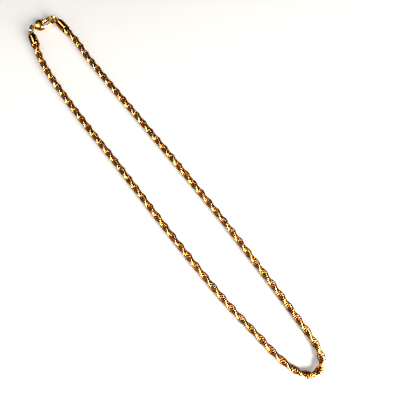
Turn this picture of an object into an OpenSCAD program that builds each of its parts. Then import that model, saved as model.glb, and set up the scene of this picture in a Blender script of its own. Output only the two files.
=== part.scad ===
// Rope chain necklace, lying closed on a flat surface.
// Millimetres, +Z up. The long way of the laid loop runs along Y, with the clasp at +Y.

/* [Rope] */
// Width across the two strands of links that wind round each other
rope_d = 4.0; // [3.2:0.1:4.6]

/* [End caps] */
// Length of a cap from its mouth to the tip of its dome
cap_len = 8.5; // [7.5:0.1:10]
// Wall of a cap's tube
cap_wall = 0.3; // [0.2:0.05:0.5]
// Room left round the rope in a cap's bore
bore_play = 0.1; // [0.05:0.05:0.2]
// Depth of a cap's bore
bore_depth = 5.5; // [4:0.1:6]
// Room left between the rope's end and the bottom of the bore
end_play = 0.3; // [0.2:0.1:0.6]

/* [Soldered eyes] */
// Wire of the eye on each cap
eye_wire = 0.7; // [0.5:0.05:0.8]
// Centre-line radius of the eye on each cap
eye_r = 1.25; // [1.2:0.05:1.5]
// How far an eye's wire sinks into what it is soldered to
solder = 0.25; // [0.15:0.05:0.3]

/* [Rings] */
// Wire of the jump ring and of the catch ring
ring_wire = 0.8; // [0.6:0.05:0.9]
// Outer diameter of the jump ring, between the left cap and the clasp
jump_d = 5.2; // [5:0.1:6]
// Outer diameter of the catch ring, on the right cap
catch_d = 5.6; // [5.4:0.1:6.4]
// How far the catch ring hangs out past the claw's wire
catch_play = 0.2; // [0.1:0.05:0.3]

/* [Clasp] */
// Length from the middle of the tail eye to the middle of the claw
claw_u = 9.8; // [9:0.1:11]
// Centre-line radius of the claw, half the clasp's width less half its wire
claw_r = 2.4; // [2.3:0.05:2.8]
// Wire of the claw and of the spine behind it
claw_wire = 1.2; // [1:0.05:1.3]
// Angle that the claw turns through, from the spine round to its tip
claw_turn = 185; // [175:1:190]
// Thickness of the clasp's body
body_t = 3; // [2.8:0.1:3.4]
// Distance from the body's round back to its flat front
body_len = 4.3; // [4:0.1:4.6]
// Wire of the tail eye
tail_wire = 0.8; // [0.7:0.05:0.9]
// Centre-line radius of the tail eye
tail_r = 1.3; // [1.25:0.05:1.5]
// Way that the clasp points, seen from above
clasp_aim = -7; // [-12:1:-2]

/* [Lever] */
// Angle that the lever opens through, into the clasp
lever_turn = 25; // [20:1:27]
// Thickness of the lever's plate inside the body's slot
plate_t = 1; // [0.8:0.1:1.2]
// Thickness of the lever's arm and thumb tab outside the slot
arm_t = 1.6; // [1.4:0.1:2]
// Room on each side of the lever's plate in the slot
slot_play = 0.1; // [0.08:0.02:0.2]
// Radius of the lever's round end about its pivot
boss_r = 0.95; // [0.85:0.05:1.05]
// Radius of the lever's tip
tip_r = 0.4; // [0.3:0.05:0.45]
// Radius of the thumb tab
tab_r = 0.9; // [0.7:0.05:1]
// Diameter of the pivot rivet
rivet_d = 0.9; // [0.8:0.05:1]
// Room round the rivet in the lever
pivot_play = 0.05; // [0.03:0.01:0.08]
// Room round the rivet in the body
rivet_play = 0.02; // [0.01:0.01:0.04]
// Gap between the lever's tip and the claw's tip
tip_gap = 0.2; // [0.15:0.05:0.3]

/* [Hidden] */
gold = [0.83, 0.62, 0.25];
dark_gold = [0.62, 0.42, 0.16];

// Route of the rope's centre line from the left cap's mouth round the loop to the right cap's mouth
route = [[-6.5, 109.5], [-9, 100], [-11, 85], [-12.5, 45], [-12.5, 20], [-13.5, -30], [-13.5, -55],
         [-13, -75], [-11.5, -92], [-10, -107], [-8, -115], [-4.5, -120.5], [0, -122], [4, -120],
         [6.5, -115], [7.5, -108], [8.5, -95], [9.5, -80], [10.5, -60], [11.5, -40], [12, -15],
         [12.5, 35], [12.5, 60], [13, 85], [14, 98], [13.5, 108]];

sides = 8;
short_rings = 3;
ring_step = 3 * rope_d;
bore_d = rope_d + 2 * bore_play;
cap_d = bore_d + 2 * cap_wall;
last = len(route) - 1;

// Curve through the route's points, smooth and centripetal, seen from above
function knot(i) =
    i < 0 ? 2 * route[0] - route[1] :
    i > last ? 2 * route[last] - route[last - 1] : route[i];
function step(a, b) = sqrt(norm(b - a));
function slope(a, b, c) =
    let (s = step(a, b), t = step(b, c))
    (b - a) / s - (c - a) / (s + t) + (c - b) / t;
function curve(i, x) =
    let (a = knot(i - 1), b = knot(i), c = knot(i + 1), d = knot(i + 2), t = step(b, c),
         m = t * slope(a, b, c), n = t * slope(b, c, d))
    (2 * x ^ 3 - 3 * x ^ 2 + 1) * b + (x ^ 3 - 2 * x ^ 2 + x) * m
    + (3 * x ^ 2 - 2 * x ^ 3) * c + (x ^ 3 - x ^ 2) * n;

// The rope lies on the surface and lifts to the caps' middle over its first and last stretch
function ease(x) = x ^ 2 * (3 - 2 * x);
function lift(i, x) = i == 0 ? ease(1 - x) : i == last - 1 ? ease(x) : 0;
function spot(i, x) =
    let (p = curve(i, x))
    [p.x, p.y, rope_d / 2 + lift(i, x) * (cap_d - rope_d) / 2];
function rings_in(i) =
    let (d = norm(route[i + 1] - route[i]))
    d < ring_step ? short_rings : ceil(d / ring_step);

// Ends of the rope: straight on from the route into the two bores
function unit(v) = v / norm(v);
left_way = unit(route[0] - route[1]);
right_way = unit(route[last] - route[last - 1]);
rope_in = bore_depth - end_play;
function along(start, way, d) = [start.x + d * way.x, start.y + d * way.y, cap_d / 2];
rope_line = concat([along(route[0], left_way, rope_in)],
                   [for (i = [0 : last - 1]) for (k = [0 : rings_in(i) - 1]) spot(i, k / rings_in(i))],
                   [spot(last - 1, 1), along(route[last], right_way, rope_in)]);

// Middles of the two cap eyes
eye_out = eye_r + eye_wire / 2 - solder;
left_eye = along(route[0], left_way, cap_len + eye_out);
right_eye = along(route[last], right_way, cap_len + eye_out);

// Each ring stands on edge: how far it reaches sideways from its middle at a height
ring_z = [jump_d / 2, catch_d / 2];
ring_r = [(jump_d - ring_wire) / 2, (catch_d - ring_wire) / 2];
function reach(n, z) = sqrt(ring_r[n] ^ 2 - (z - ring_z[n]) ^ 2);

// The clasp lies on its flat side, and the two rings meet it where their reach ends
clasp_z = body_t / 2;
jump_reach = reach(0, cap_d / 2) + reach(0, clasp_z);
catch_reach = reach(1, cap_d / 2) + catch_play + claw_r;
clasp_way = [cos(clasp_aim), sin(clasp_aim), 0];
back = right_eye - claw_u * clasp_way - left_eye;
span = norm(back);
jump_aim = atan2(back.y, back.x) + acos((span ^ 2 + jump_reach ^ 2 - catch_reach ^ 2) / (2 * span * jump_reach));
jump_way = [cos(jump_aim), sin(jump_aim), 0];
tail = left_eye + jump_reach * jump_way;
claw = tail + claw_u * clasp_way;
catch_way = unit([right_eye.x - claw.x, right_eye.y - claw.y, 0]);
jump_mid = left_eye + reach(0, cap_d / 2) * jump_way;
catch_mid = right_eye - reach(1, cap_d / 2) * catch_way;

// Clasp, in its own frame: u from the tail eye to the claw, v towards the lever
body_r = claw_r + claw_wire / 2;
body_u = tail_r + tail_wire / 2 - solder + body_r;
front_u = body_u - body_r + body_len;
pivot = [body_u, body_r * 0.4];
claw_tip = [claw_u + claw_r * cos(claw_turn - 90), claw_r * sin(claw_turn - 90)];
tip = [claw_tip.x - tip_r, claw_tip.y - sqrt((claw_wire / 2 + tip_r + tip_gap) ^ 2 - tip_r ^ 2)];
tab = [(front_u + tip.x) / 2 - tab_r, body_r - tab_r + 0.2];
slot_t = plate_t + 2 * slot_play;
slot_back = pivot.x - boss_r - 2 * slot_play;
slot_floor = pivot.y - (front_u - pivot.x) * tan(lever_turn) - boss_r / cos(lever_turn) - slot_play;
// Nearest that the thick arm may come to the pivot, so that it clears the body's front when open
arm_reach = (front_u - pivot.x + slot_play + boss_r * sin(lever_turn)) / cos(lever_turn);
arm_start = sqrt(boss_r ^ 2 + arm_reach ^ 2);

module rope_chain() {
    rings = len(rope_line);
    // Way along the rope at a ring, level, from its neighbours
    way = [for (k = [0 : rings - 1])
           let (v = rope_line[min(k + 1, rings - 1)] - rope_line[max(k - 1, 0)])
           unit([v.x, v.y, 0])];
    points = [for (k = [0 : rings - 1]) for (s = [0 : sides - 1])
              let (a = 360 * s / sides)
              rope_line[k] + rope_d / 2 * [way[k].y * cos(a), -way[k].x * cos(a), sin(a)]];
    walls = [for (k = [0 : rings - 2]) for (s = [0 : sides - 1])
             let (t = (s + 1) % sides)
             [k * sides + s, (k + 1) * sides + s, (k + 1) * sides + t, k * sides + t]];
    first = [for (s = [0 : sides - 1]) s];
    final = [for (s = [sides - 1 : -1 : 0]) (rings - 1) * sides + s];
    color(gold) polyhedron(points, concat(walls, [first, final]));
}

module flat_eye(r, wire) {
    rotate_extrude() translate([r, 0]) circle(d = wire);
}

// A tube with a domed end and an eye, with its mouth at the origin and its length along +X
module end_cap() {
    dome_r = cap_d / 2;
    translate([cap_len + eye_out, 0, 0]) flat_eye(eye_r, eye_wire);
    difference() {
        rotate([0, 90, 0]) rotate_extrude() difference() {
            union() {
                square([dome_r, cap_len - dome_r]);
                translate([0, cap_len - dome_r]) intersection() {
                    circle(r = dome_r);
                    square(dome_r);
                }
            }
            square([bore_d / 2, bore_depth]);
        }
    }
}

module seat(place, way) {
    translate(place) rotate([0, 0, atan2(way.y, way.x)]) children();
}

module end_cap_left() {
    color(gold) seat(along(route[0], left_way, 0), left_way) end_cap();
}

module end_cap_right() {
    color(gold) seat(along(route[last], right_way, 0), right_way) end_cap();
}

// A closed ring standing on edge in the plane that holds its way
module standing_ring(mid, way, d) {
    translate([mid.x, mid.y, d / 2]) rotate([0, 0, atan2(way.y, way.x)]) rotate([90, 0, 0])
        flat_eye((d - ring_wire) / 2, ring_wire);
}

module jump_ring() {
    color(gold) standing_ring(jump_mid, jump_way, jump_d);
}

module catch_ring() {
    color(gold) standing_ring(catch_mid, catch_way, catch_d);
}

module in_clasp() {
    translate([tail.x, tail.y, clasp_z]) rotate([0, 0, clasp_aim]) children();
}

module slab(t) {
    translate([0, 0, -t / 2]) linear_extrude(t) children();
}

module disc(place, r) {
    translate(place) circle(r = r);
}

// Flat bar with one round end of each radius and straight sides that touch both
module bar(a, ra, b, rb) {
    d = norm(b - a);
    turn = atan2((b - a).y, (b - a).x);
    tilt = acos((ra - rb) / d);
    disc(a, ra);
    disc(b, rb);
    polygon([a + ra * [cos(turn + tilt), sin(turn + tilt)], b + rb * [cos(turn + tilt), sin(turn + tilt)],
             b + rb * [cos(turn - tilt), sin(turn - tilt)], a + ra * [cos(turn - tilt), sin(turn - tilt)]]);
}

module clasp_body() {
    color(gold) in_clasp() {
        flat_eye(tail_r, tail_wire);
        difference() {
            union() {
                slab(body_t) intersection() {
                    disc([body_u, 0], body_r);
                    translate([0, -body_r]) square([front_u, 2 * body_r]);
                }
                translate([body_u, -claw_r, 0]) rotate([0, 90, 0]) cylinder(d = claw_wire, h = claw_u - body_u);
            }
            slab(slot_t) translate([slot_back, slot_floor]) square([2 * body_len, 2 * body_r]);
            translate([pivot.x, pivot.y, -body_t]) cylinder(d = rivet_d + 2 * rivet_play, h = 2 * body_t);
        }
        translate([claw_u, 0, 0]) rotate([0, 0, -90])
            rotate_extrude(angle = claw_turn) translate([claw_r, 0]) circle(d = claw_wire);
        translate(claw_tip) sphere(d = claw_wire);
    }
}

module lever_outline() {
    bar(pivot, boss_r, tip, tip_r);
    bar(pivot, boss_r, tab, tab_r);
}

module clasp_lever() {
    color(dark_gold) in_clasp() difference() {
        union() {
            slab(plate_t) lever_outline();
            slab(arm_t) difference() {
                lever_outline();
                disc(pivot, arm_start);
            }
        }
        translate([pivot.x, pivot.y, -body_t]) cylinder(d = rivet_d + 2 * pivot_play, h = 2 * body_t);
    }
}

module clasp_rivet() {
    color(gold) in_clasp() translate([pivot.x, pivot.y, -clasp_z]) cylinder(d = rivet_d, h = body_t);
}

$fn = 48;
rope_chain();
end_cap_left();
end_cap_right();
jump_ring();
catch_ring();
clasp_body();
clasp_lever();
clasp_rivet();
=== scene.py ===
# %% [markdown]
# A gold-tone rope chain lies closed on a pale table, seen from above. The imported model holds
# the pieces at their real size: a plain tube for the rope, two end caps, two rings and a small
# lobster clasp. This file dresses them. The tube becomes hundreds of round links, the
# clasp and the caps get soft edges, and every metal gets its own polish and wear.

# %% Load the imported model
import math
import bmesh
import bpy
from mathutils import Matrix, Vector


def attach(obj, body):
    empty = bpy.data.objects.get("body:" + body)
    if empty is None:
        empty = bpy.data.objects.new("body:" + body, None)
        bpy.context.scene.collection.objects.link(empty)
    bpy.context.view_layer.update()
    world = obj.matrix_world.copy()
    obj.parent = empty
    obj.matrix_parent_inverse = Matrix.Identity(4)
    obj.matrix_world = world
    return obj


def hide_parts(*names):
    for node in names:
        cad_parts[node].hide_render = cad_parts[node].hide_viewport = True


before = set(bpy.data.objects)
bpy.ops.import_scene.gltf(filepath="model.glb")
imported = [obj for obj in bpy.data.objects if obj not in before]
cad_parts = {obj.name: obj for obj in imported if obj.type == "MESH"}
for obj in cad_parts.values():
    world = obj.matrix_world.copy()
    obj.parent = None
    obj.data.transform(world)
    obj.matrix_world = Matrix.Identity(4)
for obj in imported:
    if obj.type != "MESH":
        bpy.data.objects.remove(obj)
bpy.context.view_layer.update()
MM = 0.001
print("pieces of the model:", ", ".join(sorted(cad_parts)))

# %% [markdown]
# The camera comes first, because everything else is judged through it. The photo was taken by
# hand from just above the chain, leaning a little forward, so the loop runs from one corner to
# the other and its far end looks smaller. A lens of fixed length at a real height gives that
# perspective by itself.

# %% Camera
CAMERA_PLACE = Vector((-35.7, -81.8, 205.0)) * MM
CAMERA_TILT = math.radians(19.5)
CAMERA_TURN = math.radians(-38.5)
LENS = 37.98
SENSOR = 36.0
NEAREST, FURTHEST = 2 * MM, 10.0


def make_camera():
    data = bpy.data.cameras.new("camera")
    data.lens = LENS
    data.sensor_width = SENSOR
    data.clip_start, data.clip_end = NEAREST, FURTHEST
    camera = bpy.data.objects.new("camera", data)
    camera.location = CAMERA_PLACE
    camera.rotation_euler = (CAMERA_TILT, 0.0, CAMERA_TURN)
    bpy.context.scene.collection.objects.link(camera)
    bpy.context.scene.camera = camera


make_camera()
print(f"camera: {LENS} mm lens, {CAMERA_PLACE.z / MM:.0f} mm above the table")

# %% [markdown]
# All the metal is one gold tone, a thin plating over brass, so the finishes differ only in
# polish, wear and painted shade. Edges that rub on skin stay bright and the rest of the caps and
# the clasp keeps some browner tarnish, while on the rope the same browner colour is painted
# shade, put deep in the hollows between the links. Small scratches change how sharp the
# reflections are from place to place. A node group holds this once. Each metal gives it its own
# amounts and a mask of wear and painted shade, which the pieces carry in an attribute of their
# own.

# %% Node group for worn plating and painted shade
PATCH_SCALE, PATCH_DETAIL = 350.0, 3.0
SCRATCH_SCALE, SCRATCH_DETAIL = 2600.0, 4.0
PATCH_CONTRAST = 0.8
WHITE = (1.0, 1.0, 1.0, 1.0)


def group_socket(group, name, kind, way, value=None):
    socket = group.interface.new_socket(name=name, in_out=way, socket_type=kind)
    if value is not None:
        socket.default_value = value


def add_noise(group, place, scale, detail):
    node = group.nodes.new("ShaderNodeTexNoise")
    node.inputs["Detail"].default_value = detail
    node.inputs["Scale"].default_value = scale
    group.links.new(place, node.inputs["Vector"])
    return node.outputs["Fac"]


def add_math(group, operation, first, second):
    node = group.nodes.new("ShaderNodeMath")
    node.operation = operation
    for socket, value in zip(node.inputs, (first, second)):
        if isinstance(value, (int, float)):
            socket.default_value = value
        else:
            group.links.new(value, socket)
    return node.outputs[0]


def make_plating_wear_and_shade():
    group = bpy.data.node_groups.new("plating_wear_and_shade", "ShaderNodeTree")
    for name in ("Bright", "Tarnish_and_shade"):
        group_socket(group, name, "NodeSocketColor", "INPUT", WHITE)
    for name, value in (("Rubbed_and_lit", 0.5), ("Smoothest", 0.1), ("Roughest", 0.3)):
        group_socket(group, name, "NodeSocketFloat", "INPUT", value)
    group_socket(group, "Colour", "NodeSocketColor", "OUTPUT")
    group_socket(group, "Roughness", "NodeSocketFloat", "OUTPUT")
    group_socket(group, "Height", "NodeSocketFloat", "OUTPUT")
    given = group.nodes.new("NodeGroupInput")
    result = group.nodes.new("NodeGroupOutput")
    place = group.nodes.new("ShaderNodeTexCoord").outputs["Object"]
    patches = add_noise(group, place, PATCH_SCALE, PATCH_DETAIL)
    marks = add_noise(group, place, SCRATCH_SCALE, SCRATCH_DETAIL)
    uneven = add_math(group, "SUBTRACT", patches, 0.5)
    uneven = add_math(group, "MULTIPLY", uneven, PATCH_CONTRAST)
    # How much browner colour a place gets: tarnish on the caps and the clasp, painted shade in the
    # rope's hollows.
    tarnish_and_shade_share = add_math(group, "SUBTRACT", 1.0, given.outputs["Rubbed_and_lit"])
    dull = group.nodes.new("ShaderNodeClamp")
    group.links.new(add_math(group, "ADD", tarnish_and_shade_share, uneven), dull.inputs["Value"])
    colour = group.nodes.new("ShaderNodeMix")
    colour.data_type = "RGBA"
    group.links.new(dull.outputs["Result"], colour.inputs["Factor"])
    group.links.new(given.outputs["Bright"], colour.inputs["A"])
    group.links.new(given.outputs["Tarnish_and_shade"], colour.inputs["B"])
    group.links.new(colour.outputs["Result"], result.inputs["Colour"])
    polish = group.nodes.new("ShaderNodeMapRange")
    group.links.new(dull.outputs["Result"], polish.inputs["Value"])
    group.links.new(given.outputs["Smoothest"], polish.inputs["To Min"])
    group.links.new(given.outputs["Roughest"], polish.inputs["To Max"])
    group.links.new(polish.outputs["Result"], result.inputs["Roughness"])
    group.links.new(marks, result.inputs["Height"])
    return group


plating_wear_and_shade = make_plating_wear_and_shade()
print("worn plating:", len(plating_wear_and_shade.nodes), "nodes")

# %% [markdown]
# Three finishes come from that group. The links are many and hard to polish, so theirs is the
# roughest. The caps and the clasp are smoother, and the plain rings are smooth all round. The
# bump of the scratches is only a few thousandths of a millimetre deep, as on real plating.

# %% Gold finishes
GOLD = (1.0, 0.70, 0.29, 1.0)
# BROWN_GOLD is tarnish on the caps and the clasp, and painted shade deep inside the rope.
BROWN_GOLD = (0.40, 0.16, 0.035, 1.0)
SCRATCH_DEPTH = 0.004 * MM
SCRATCH_STRENGTH = 0.3


def make_gold(name, smoothest, roughest, rubbed_and_lit=None):
    """Worn gold plating that also paints shade into the rope's hollows.
    Without a fixed amount the mask comes from the piece's attribute.
    """
    material = bpy.data.materials.new(name)
    material.use_nodes = True
    nodes, links = material.node_tree.nodes, material.node_tree.links
    shader = nodes["Principled BSDF"]
    shader.inputs["Metallic"].default_value = 1.0
    wear = nodes.new("ShaderNodeGroup")
    wear.node_tree = plating_wear_and_shade
    wear.inputs["Bright"].default_value = GOLD
    wear.inputs["Tarnish_and_shade"].default_value = BROWN_GOLD
    wear.inputs["Smoothest"].default_value = smoothest
    wear.inputs["Roughest"].default_value = roughest
    if rubbed_and_lit is None:
        mask = nodes.new("ShaderNodeAttribute")
        mask.attribute_name = "rubbed_and_lit"
        links.new(mask.outputs["Fac"], wear.inputs["Rubbed_and_lit"])
    else:
        wear.inputs["Rubbed_and_lit"].default_value = rubbed_and_lit
    links.new(wear.outputs["Colour"], shader.inputs["Base Color"])
    links.new(wear.outputs["Roughness"], shader.inputs["Roughness"])
    bump = nodes.new("ShaderNodeBump")
    bump.inputs["Strength"].default_value = SCRATCH_STRENGTH
    bump.inputs["Distance"].default_value = SCRATCH_DEPTH
    links.new(wear.outputs["Height"], bump.inputs["Height"])
    links.new(bump.outputs["Normal"], shader.inputs["Normal"])
    return material


# The links' finish paints shade: its browner colour near the rope's middle stands in for the shade
# between the links.
link_gold = make_gold("link_gold", 0.10, 0.30)
case_gold = make_gold("case_gold", 0.12, 0.30)
wire_gold = make_gold("wire_gold", 0.08, 0.20, rubbed_and_lit=0.8)
print("finishes: link_gold, case_gold, wire_gold")

# %% [markdown]
# A rope chain has no pattern of its own along its length but its twist, so everything follows
# one curve: the middle of the rope, from the left cap round the loop to the right cap. A few
# chosen points and a smooth curve through them are easier to adjust than a drawn line. The
# points are the same as in the model's source, and the curve is the same centripetal one, so
# the links lie exactly in the tube that they replace.

# %% Route of the rope
ROPE_D = 4.0
CAP_D = 4.8
ROUTE = [(-6.5, 109.5), (-9, 100), (-11, 85), (-12.5, 45), (-12.5, 20), (-13.5, -30), (-13.5, -55),
         (-13, -75), (-11.5, -92), (-10, -107), (-8, -115), (-4.5, -120.5), (0, -122), (4, -120),
         (6.5, -115), (7.5, -108), (8.5, -95), (9.5, -80), (10.5, -60), (11.5, -40), (12, -15),
         (12.5, 35), (12.5, 60), (13, 85), (14, 98), (13.5, 108)]
SAMPLES = 60
INTO_CAP = 2.4


def knots():
    points = [Vector(p) for p in ROUTE]
    return [2 * points[0] - points[1]] + points + [2 * points[-1] - points[-2]]


def slope(a, b, c):
    s = (b - a).length ** 0.5
    t = (c - b).length ** 0.5
    return (b - a) / s - (c - a) / (s + t) + (c - b) / t


def ease(x):
    return x * x * (3 - 2 * x)


def rope_points():
    """The rope's middle line in millimetres, with a straight stretch into each cap."""
    k = knots()
    spans = len(k) - 3
    line = []
    for i in range(spans):
        a, b, c, d = k[i:i + 4]
        t = (c - b).length ** 0.5
        m = t * slope(a, b, c)
        n = t * slope(b, c, d)
        for step in range(SAMPLES):
            x = step / SAMPLES
            p = ((2 * x ** 3 - 3 * x ** 2 + 1) * b + (x ** 3 - 2 * x ** 2 + x) * m
                 + (3 * x ** 2 - 2 * x ** 3) * c + (x ** 3 - x ** 2) * n)
            rise = ease(1 - x) if i == 0 else ease(x) if i == spans - 1 else 0.0
            line.append(Vector((p.x, p.y, ROPE_D / 2 + rise * (CAP_D - ROPE_D) / 2)))
    first = (k[1] - k[2]).normalized().to_3d() * INTO_CAP
    last = (k[-2] - k[-3]).normalized().to_3d() * INTO_CAP
    start = Vector((k[1].x, k[1].y, CAP_D / 2))
    end = Vector((k[-2].x, k[-2].y, CAP_D / 2))
    return [start + first] + line + [end, end + last]


rope_line = rope_points()
rope_length = sum((b - a).length for a, b in zip(rope_line, rope_line[1:]))
print(f"rope: {rope_length:.1f} mm along its middle")

# %% [markdown]
# Wire is what most of this necklace is made of: links, eyes, rings and the clasp's claw are all
# round wire bent into a circle. One helper bends it: a small circle is the wire's section, and
# a spin carries it round. A spin gives clean rows of faces, and a full turn merges its last row
# with its first. Where faces share edges, each edge is listed once and in order, because an
# unordered set would give the points another order at each run.

# %% Bent wire and finished pieces
FULL_CIRCLE = 2 * math.pi
SHARP_ANGLE = 35


def once(items):
    return list(dict.fromkeys(items))


def add_wire(bm, ring_radius, wire, steps, sides, start=0.0, turn=FULL_CIRCLE):
    """Round wire bent in the XY plane about the origin, from the angle start through turn."""
    before = set(bm.verts)
    section = Matrix.Rotation(start, 4, "Z") @ Matrix.Translation((ring_radius * MM, 0, 0))
    section = section @ Matrix.Rotation(math.pi / 2, 4, "X")
    closed = turn == FULL_CIRCLE
    bmesh.ops.create_circle(bm, cap_ends=False, segments=sides, radius=wire / 2 * MM,
                            matrix=section)
    made = [v for v in bm.verts if v not in before]
    edges = once(e for v in made for e in v.link_edges)
    bmesh.ops.spin(bm, geom=made + edges, cent=(0, 0, 0), axis=(0, 0, 1), angle=turn, steps=steps,
                   use_merge=closed)
    made = [v for v in bm.verts if v not in before]
    if not closed:
        ends = once(e for v in made for e in v.link_edges if e.is_boundary)
        bmesh.ops.edgeloop_fill(bm, edges=ends)
    return made


def move(bm, verts, matrix):
    bmesh.ops.transform(bm, matrix=matrix, verts=verts)


def finish_piece(bm, name, node, body, material, sharp=SHARP_ANGLE):
    """Makes an object of a bmesh, smooth but for its sharp edges, in place of a node."""
    bmesh.ops.recalc_face_normals(bm, faces=bm.faces[:])
    for face in bm.faces:
        face.smooth = True
    mesh = bpy.data.meshes.new(name)
    bm.to_mesh(mesh)
    bm.free()
    mesh.set_sharp_from_angle(angle=math.radians(sharp))
    mesh.materials.append(material)
    piece = bpy.data.objects.new(name, mesh)
    bpy.context.scene.collection.objects.link(piece)
    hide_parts(node)
    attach(piece, body)
    print(f"{name}: {len(mesh.polygons)} faces")


# %% [markdown]
# The real rope is made of small round links, each open ring threaded through its neighbours and
# soldered, so that they stack into two strands that wind round each other. Every link is the
# same, and only its place changes: neighbours sit on opposite sides of the middle line, each a
# little further along and a little further round, and each leans over like a coin in a spiral
# stack. So one link is made once, as a ring of under a hundred faces, and copies of it are
# placed along the curve by a short formula.

# %% One link
LINK_WIRE = 0.515
LINK_OFFSET = 0.45
LINK_LEAN = math.radians(-30)
LINK_STEP = 0.55
LINK_SIDES, WIRE_SIDES = 16, 6
FULL_TURN = 12.8
ROPE_SLACK = 0.02
LINK_RADIUS = ROPE_D / 2 - ROPE_SLACK - LINK_OFFSET - LINK_WIRE / 2


def make_link():
    bm = bmesh.new()
    add_wire(bm, LINK_RADIUS, LINK_WIRE, steps=LINK_SIDES, sides=WIRE_SIDES)
    bmesh.ops.recalc_face_normals(bm, faces=bm.faces[:])
    for face in bm.faces:
        face.smooth = True
    mesh = bpy.data.meshes.new("one_link")
    bm.to_mesh(mesh)
    bm.free()
    return mesh


one_link = make_link()
print(f"one link: {len(one_link.polygons)} faces, {2 * LINK_RADIUS + LINK_WIRE:.2f} mm across")

# %% [markdown]
# Each link's place comes from four numbers: how far it stands out from the middle line, how
# much it leans, how far apart the links are, and how long one full turn of the twist is. The
# links are copied into a single mesh, because hundreds of separate objects would be slow. Each
# point also keeps how far it lies from the middle, and the finish paints shade, a browner
# colour, on the points deep inside the rope, in the hollows between the links.

# %% Rope of links
UP = Vector((0, 0, 1))
# The mask rises from 0 deep inside the rope to 1 at its outside; the browner colour inside is
# painted shade.
UNSHADED_GAIN, UNSHADED_SHIFT = 2.2, 1.2
NEVER_SHARP = 180


def walk(line, step):
    """How far along, where and which way, every step millimetres along a line."""
    done = 0.0
    wanted = step / 2
    for a, b in zip(line, line[1:]):
        piece = (b - a).length
        while wanted <= done + piece:
            yield wanted, a.lerp(b, (wanted - done) / piece), (b - a).normalized()
            wanted += step
        done += piece


def link_place(number, along, middle, way):
    side = way.cross(UP).normalized()
    top = side.cross(way)
    angle = FULL_CIRCLE * along / FULL_TURN + math.pi * (number % 2)
    out = math.cos(angle) * top + math.sin(angle) * way.cross(top)
    leaned = math.cos(LINK_LEAN) * way.cross(out) - math.sin(LINK_LEAN) * way
    turn = Matrix((out, leaned, out.cross(leaned))).transposed().to_4x4()
    return Matrix.Translation((middle + LINK_OFFSET * out) * MM) @ turn


def make_rope():
    bm = bmesh.new()
    rubbed_and_lit = []
    for number, (along, middle, way) in enumerate(walk(rope_line, LINK_STEP)):
        link = one_link.copy()
        link.transform(link_place(number, along, middle, way))
        for vertex in link.vertices:
            # Painted shade: the deeper a point lies in the rope, the browner its colour.
            reach = (vertex.co / MM - middle).cross(way).length / (ROPE_D / 2)
            rubbed_and_lit.append(min(1.0, max(0.0, UNSHADED_GAIN * reach - UNSHADED_SHIFT)))
        bm.from_mesh(link)
        bpy.data.meshes.remove(link)
    layer = bm.verts.layers.float.new("rubbed_and_lit")
    for vertex, value in zip(bm.verts, rubbed_and_lit):
        vertex[layer] = value
    print("rope:", len(rubbed_and_lit) // len(one_link.vertices), "links,", 2 * len(bm.faces),
          "triangles")
    finish_piece(bm, "rope_links", "rope_chain", "necklace", link_gold,
                 sharp=NEVER_SHARP)


make_rope()

# %% [markdown]
# Each end of the rope is glued into a plain cap: a short tube with a round end, and an eye of
# wire soldered on. A turned part like this is quickest as half of its outline, spun round its
# own axis. The real lip isn't sharp, so its two edges get a small bevel, and the points that
# the bevel makes are marked as rubbed.

# %% End caps
CAP_LEN = 8.5
BORE_D = 4.2
BORE_DEPTH = 5.5
EYE_WIRE = 0.7
EYE_R = 1.25
SOLDER = 0.25
LIP_BEVEL = 0.1
BEVEL_STEPS = 3
TOLERANCE = 0.001 * MM
CAP_RUBBED, EYE_RUBBED, EDGE_RUBBED = 0.45, 0.7, 1.0


def soften(bm, edges, width):
    """Bevels edges and marks what shows the most wear."""
    made = bmesh.ops.bevel(bm, geom=edges, offset=width * MM, offset_type="OFFSET",
                           segments=BEVEL_STEPS, profile=0.5, affect="EDGES", material=-1)
    layer = bm.verts.layers.float["rubbed_and_lit"]
    faces = set(made["faces"])
    for vertex in made["verts"]:
        if all(face in faces for face in vertex.link_faces):
            vertex[layer] = EDGE_RUBBED


def make_cap(name, node, mouth, inner):
    way = Vector(mouth) - Vector(inner)
    bm = bmesh.new()
    layer = bm.verts.layers.float.new("rubbed_and_lit")
    radius = CAP_D / 2
    shoulder = CAP_LEN - radius
    corners = [(BORE_DEPTH, 0), (BORE_DEPTH, BORE_D / 2), (0, BORE_D / 2), (0, radius),
               (shoulder, radius)]
    outline = [bm.verts.new((x * MM, r * MM, 0)) for x, r in corners]
    for pair in zip(outline, outline[1:]):
        bm.edges.new(pair)
    bmesh.ops.spin(bm, geom=outline[-1:], cent=(shoulder * MM, 0, 0), axis=(0, 0, -1),
                   angle=math.pi / 2, steps=8)
    bmesh.ops.spin(bm, geom=bm.verts[:] + bm.edges[:], cent=(0, 0, 0), axis=(1, 0, 0),
                   angle=FULL_CIRCLE, steps=40, use_merge=True)
    bmesh.ops.remove_doubles(bm, verts=bm.verts[:], dist=TOLERANCE)
    for vertex in bm.verts:
        vertex[layer] = CAP_RUBBED
    mouth_edges = [e for e in bm.edges if max(abs(v.co.x) for v in e.verts) < TOLERANCE]
    lip = [e for e in mouth_edges
           if abs(e.verts[0].co.yz.length - e.verts[1].co.yz.length) < TOLERANCE]
    soften(bm, lip, LIP_BEVEL)
    eye = add_wire(bm, EYE_R, EYE_WIRE, steps=32, sides=12)
    for vertex in eye:
        vertex[layer] = EYE_RUBBED
    move(bm, eye, Matrix.Translation(((CAP_LEN + EYE_R + EYE_WIRE / 2 - SOLDER) * MM, 0, 0)))
    turn = Matrix.Rotation(math.atan2(way.y, way.x), 4, "Z")
    move(bm, bm.verts[:], Matrix.Translation(Vector((*mouth, radius)) * MM) @ turn)
    finish_piece(bm, name, node, "necklace", case_gold)


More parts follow.
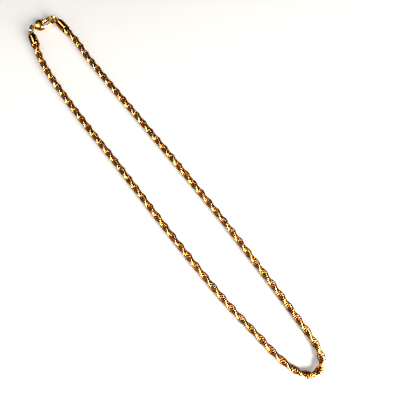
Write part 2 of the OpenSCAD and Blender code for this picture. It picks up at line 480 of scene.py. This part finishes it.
make_cap("left_cap", "end_cap_left", ROUTE[0], ROUTE[1])
make_cap("right_cap", "end_cap_right", ROUTE[-1], ROUTE[-2])

# %% [markdown]
# The lobster clasp is cast: a round case with a slot for the lever, a spine that runs to the
# hooked claw, and an eye at its tail. Its flat forms have the same making: discs, pulled up to
# a thickness, wrapped into one solid by a convex hull, cut straight where needed and softened
# all round. Flat solids, a rod and bent wire then share one mesh, as the metal of a casting
# does, so the parts run into each other with no gap.

# %% Flat solids
CLASP_AIM = math.radians(-7)
TAIL_EYE = Vector((-0.900, 121.711, 1.5))
FLAT_ANGLE = math.radians(1)
EDGE_ANGLE = math.radians(40)


def corners_of(faces):
    return once(v for f in faces for v in f.verts)


def cut(bm, faces, place, way):
    """Cuts a solid at a plane, drops what lies on the side of way, and closes it."""
    edges = once(e for f in faces for e in f.edges)
    made = bmesh.ops.bisect_plane(bm, geom=corners_of(faces) + edges + faces, dist=TOLERANCE,
                                  plane_co=Vector(place) * MM, plane_no=way, clear_outer=True)
    rim = [e for e in made["geom_cut"] if isinstance(e, bmesh.types.BMEdge)]
    bmesh.ops.edgeloop_fill(bm, edges=rim)


def add_slab(bm, discs, low, high, rim, cuts=()):
    """A flat solid round some discs, each an X, a Y and a radius, between two heights."""
    old = set(bm.faces)
    corners = []
    for x, y, radius in discs:
        for height in (low, high):
            place = Matrix.Translation(Vector((x, y, height)) * MM)
            circle = bmesh.ops.create_circle(bm, cap_ends=False, segments=48,
                                             radius=radius * MM, matrix=place)
            corners += circle["verts"]
    hull = bmesh.ops.convex_hull(bm, input=corners)
    loose = once(hull["geom_interior"] + hull["geom_unused"])
    bmesh.ops.delete(bm, geom=loose, context="VERTS")
    edges = once(e for f in bm.faces if f not in old for e in f.edges)
    bmesh.ops.dissolve_limit(bm, angle_limit=FLAT_ANGLE, verts=[], edges=edges)
    for place, way in cuts:
        cut(bm, [f for f in bm.faces if f not in old], place, way)
    faces = [f for f in bm.faces if f not in old]
    edges = once(e for f in faces for e in f.edges)
    soften(bm, [e for e in edges if e.calc_face_angle(0) > EDGE_ANGLE], rim)


# %% [markdown]
# The clasp's body is made lying along X with its tail eye at the origin, where its sizes are
# easy to read, and is turned and moved to its place at the end. The case is two cheeks with a
# slot between them, closed at the back and below. The spine is a rod, the claw a bent wire with
# a ball for its tip, and the tail a closed ring.

# %% Clasp body
CLAW_U = 9.8
CLAW_R = 2.4
CLAW_WIRE = 1.2
CLAW_TURN = math.radians(185)
CASE = (4.45, 0, 3.0)
CASE_FRONT = 5.75
CASE_T = 3.0
SLOT_T = 1.2
SLOT_BACK = 3.30
SLOT_FLOOR = -0.55
TAIL_R = 1.3
TAIL_WIRE = 0.8
CHEEK_LAP = 0.3
CASE_RIM, SLOT_RIM = 0.3, 0.05
CASE_RUBBED, WIRE_RUBBED = 0.35, 0.7


def add_rod(bm, start, end, wire):
    middle = (Vector(start) + Vector(end)) / 2
    along = Vector(end) - Vector(start)
    place = Matrix.Translation(middle * MM) @ along.to_track_quat("Z", "Y").to_matrix().to_4x4()
    radius = wire / 2 * MM
    bmesh.ops.create_cone(bm, cap_ends=True, segments=24, radius1=radius, radius2=radius,
                          depth=along.length * MM, matrix=place)


def place_clasp(bm):
    move(bm, bm.verts[:], Matrix.Translation(TAIL_EYE * MM) @ Matrix.Rotation(CLASP_AIM, 4, "Z"))


def make_clasp_body():
    bm = bmesh.new()
    layer = bm.verts.layers.float.new("rubbed_and_lit")
    front = ((CASE_FRONT, 0, 0), (1, 0, 0))
    back = ((SLOT_BACK, 0, 0), (1, 0, 0))
    floor = ((0, SLOT_FLOOR, 0), (0, 1, 0))
    add_slab(bm, [CASE], SLOT_T / 2, CASE_T / 2, CASE_RIM, [front])
    add_slab(bm, [CASE], -CASE_T / 2, -SLOT_T / 2, CASE_RIM, [front])
    for cuts in ([back], [front, floor]):
        add_slab(bm, [CASE], -SLOT_T / 2 - CHEEK_LAP, SLOT_T / 2 + CHEEK_LAP, SLOT_RIM, cuts)
    flat = set(bm.verts)
    add_rod(bm, (CASE[0], -CLAW_R, 0), (CLAW_U, -CLAW_R, 0), CLAW_WIRE)
    claw = add_wire(bm, CLAW_R, CLAW_WIRE, steps=40, sides=24, start=-math.pi / 2,
                    turn=CLAW_TURN)
    end = CLAW_TURN - math.pi / 2
    tip = Matrix.Translation(Vector((CLAW_R * math.cos(end), CLAW_R * math.sin(end), 0)) * MM)
    ball = bmesh.ops.create_uvsphere(bm, u_segments=24, v_segments=14,
                                     radius=CLAW_WIRE / 2 * MM, matrix=tip)
    move(bm, claw + ball["verts"], Matrix.Translation((CLAW_U * MM, 0, 0)))
    add_wire(bm, TAIL_R, TAIL_WIRE, steps=36, sides=14)
    for vertex in bm.verts:
        if vertex not in flat:
            vertex[layer] = WIRE_RUBBED
        elif vertex[layer] < EDGE_RUBBED:
            vertex[layer] = CASE_RUBBED
    place_clasp(bm)
    finish_piece(bm, "clasp_casting", "clasp_body", "necklace", case_gold)


make_clasp_body()

# %% [markdown]
# The lever turns on a rivet between the case's two cheeks. Inside the slot it is a thin plate,
# and outside it is thicker, so that it meets the claw's tip and gives the thumb something to
# push. It is built from the same flat solids, in its closed place.

# %% Lever and rivet
PIVOT = (4.45, 1.2)
LEVER_TIP = (9.19, 1.26, 0.4)
THUMB_TAB = (6.57, 2.3, 0.9)
BOSS_R = 0.95
PLATE_T = 1.0
ARM_T = 1.6
ARM_START = 2.21
PLATE_RIM, ARM_RIM = 0.1, 0.2
RIVET_D = 0.9
RIVET_STANDS = 0.1
RIVET_RIM = 0.09
LEVER_RUBBED, RIVET_RUBBED = 0.4, 0.6


def make_lever():
    bm = bmesh.new()
    layer = bm.verts.layers.float.new("rubbed_and_lit")
    boss = (*PIVOT, BOSS_R)
    for end in (LEVER_TIP, THUMB_TAB):
        way = (Vector(end[:2]) - Vector(PIVOT)).normalized().to_3d()
        start = Vector((*PIVOT, 0)) + ARM_START * way
        add_slab(bm, [boss, end], -PLATE_T / 2, PLATE_T / 2, PLATE_RIM)
        add_slab(bm, [boss, end], -ARM_T / 2, ARM_T / 2, ARM_RIM, [(start, -way)])
    for vertex in bm.verts:
        vertex[layer] = max(vertex[layer], LEVER_RUBBED)
    place_clasp(bm)
    finish_piece(bm, "lever_casting", "clasp_lever", "lever", case_gold)


def make_rivet():
    bm = bmesh.new()
    layer = bm.verts.layers.float.new("rubbed_and_lit")
    add_slab(bm, [(*PIVOT, RIVET_D / 2)], -CASE_T / 2, CASE_T / 2 + RIVET_STANDS, RIVET_RIM)
    for vertex in bm.verts:
        vertex[layer] = max(vertex[layer], RIVET_RUBBED)
    place_clasp(bm)
    finish_piece(bm, "rivet_head", "clasp_rivet", "necklace", case_gold)


make_lever()
make_rivet()

# %% [markdown]
# The two loose rings are right as the model has them, so they only get the finish. It has one
# amount of rubbing all over, because a ring turns round in use and wears evenly.

# %% Rings
for node in ("jump_ring", "catch_ring"):
    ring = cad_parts[node].data
    ring.materials.clear()
    ring.materials.append(wire_gold)
print("rings: jump_ring, catch_ring")

# %% [markdown]
# The chain lies on a plain white table, a single flat face. Metal shows only what it mirrors,
# so the table is also a lamp for it, and fills the low sides of the links. In the photo the
# table is nearly white, though the gold mirrors a darker one. A little light that only the
# camera's rays see brings the table to that white and leaves the metal as it is.

# %% Table
TABLE_SIDE = 4.0
TABLE_WHITE = (0.45, 0.443, 0.432, 1.0)
TABLE_GLOW = (0.44, 0.436, 0.428, 1.0)


def make_table():
    bm = bmesh.new()
    bmesh.ops.create_grid(bm, x_segments=1, y_segments=1, size=TABLE_SIDE / 2)
    mesh = bpy.data.meshes.new("table")
    bm.to_mesh(mesh)
    bm.free()
    table = bpy.data.objects.new("table", mesh)
    bpy.context.scene.collection.objects.link(table)
    material = bpy.data.materials.new("table_white")
    material.use_nodes = True
    shader = material.node_tree.nodes["Principled BSDF"]
    shader.inputs["Base Color"].default_value = TABLE_WHITE
    shader.inputs["Roughness"].default_value = 0.5
    rays = material.node_tree.nodes.new("ShaderNodeLightPath")
    material.node_tree.links.new(rays.outputs["Is Camera Ray"], shader.inputs["Emission Strength"])
    shader.inputs["Emission Color"].default_value = TABLE_GLOW
    mesh.materials.append(material)


make_table()
print(f"table: {TABLE_SIDE:.0f} m square")

# %% [markdown]
# Three round lamps light it. The main one is soft and stands low in front, so it catches only
# the sides of the links that lean towards it, and the room behind it is nearly black, which
# gives the dark half of each twist. A weak lamp on the left opens the shadows. Another, high up
# behind the clasp, is what the tops of the clasp and the caps mirror to the camera, and it
# draws a bright line along the round caps.

# %% Light
LAMP_COLOUR = (1.0, 0.98, 0.96)
ROOM_DARK = (0.006, 0.006, 0.006, 1.0)
MIDDLE, CLASP = (0.0, -0.02, 0.0), (0.0, 0.117, 0.0)
LAMPS = [
    # name, place, aim, width in metres, power in watts
    ("key", (0.04, -0.471, 0.211), MIDDLE, 0.35, 10.4),
    ("fill", (-0.453, -0.02, 0.211), MIDDLE, 0.40, 1.0),
    ("back", (-0.05, 0.42, 0.38), CLASP, 0.22, 0.6),
]


def make_lamp(name, place, aim, size, power):
    data = bpy.data.lights.new(name, "AREA")
    data.shape = "DISK"
    data.size = size
    data.energy = power
    data.color = LAMP_COLOUR
    lamp = bpy.data.objects.new(name, data)
    lamp.location = place
    lamp.rotation_euler = (Vector(aim) - Vector(place)).to_track_quat("-Z", "Y").to_euler()
    bpy.context.scene.collection.objects.link(lamp)


def make_room():
    """A nearly black room in all that the gold mirrors, and a pale one behind the table's edge."""
    world = bpy.data.worlds.new("room")
    world.use_nodes = True
    nodes, links = world.node_tree.nodes, world.node_tree.links
    mirrored = nodes["Background"]
    mirrored.inputs["Color"].default_value = ROOM_DARK
    seen = nodes.new("ShaderNodeBackground")
    seen.inputs["Color"].default_value = TABLE_GLOW
    rays = nodes.new("ShaderNodeLightPath")
    either = nodes.new("ShaderNodeMixShader")
    for number, output in enumerate((rays.outputs["Is Camera Ray"], mirrored.outputs["Background"],
                                     seen.outputs["Background"])):
        links.new(output, either.inputs[number])
    links.new(either.outputs["Shader"], nodes["World Output"].inputs["Surface"])
    bpy.context.scene.world = world


for row in LAMPS:
    make_lamp(*row)
make_room()
bpy.context.scene.view_settings.view_transform = "Standard"
bpy.context.scene.view_settings.gamma = 0.65
print("lamps:", ", ".join(row[0] for row in LAMPS))
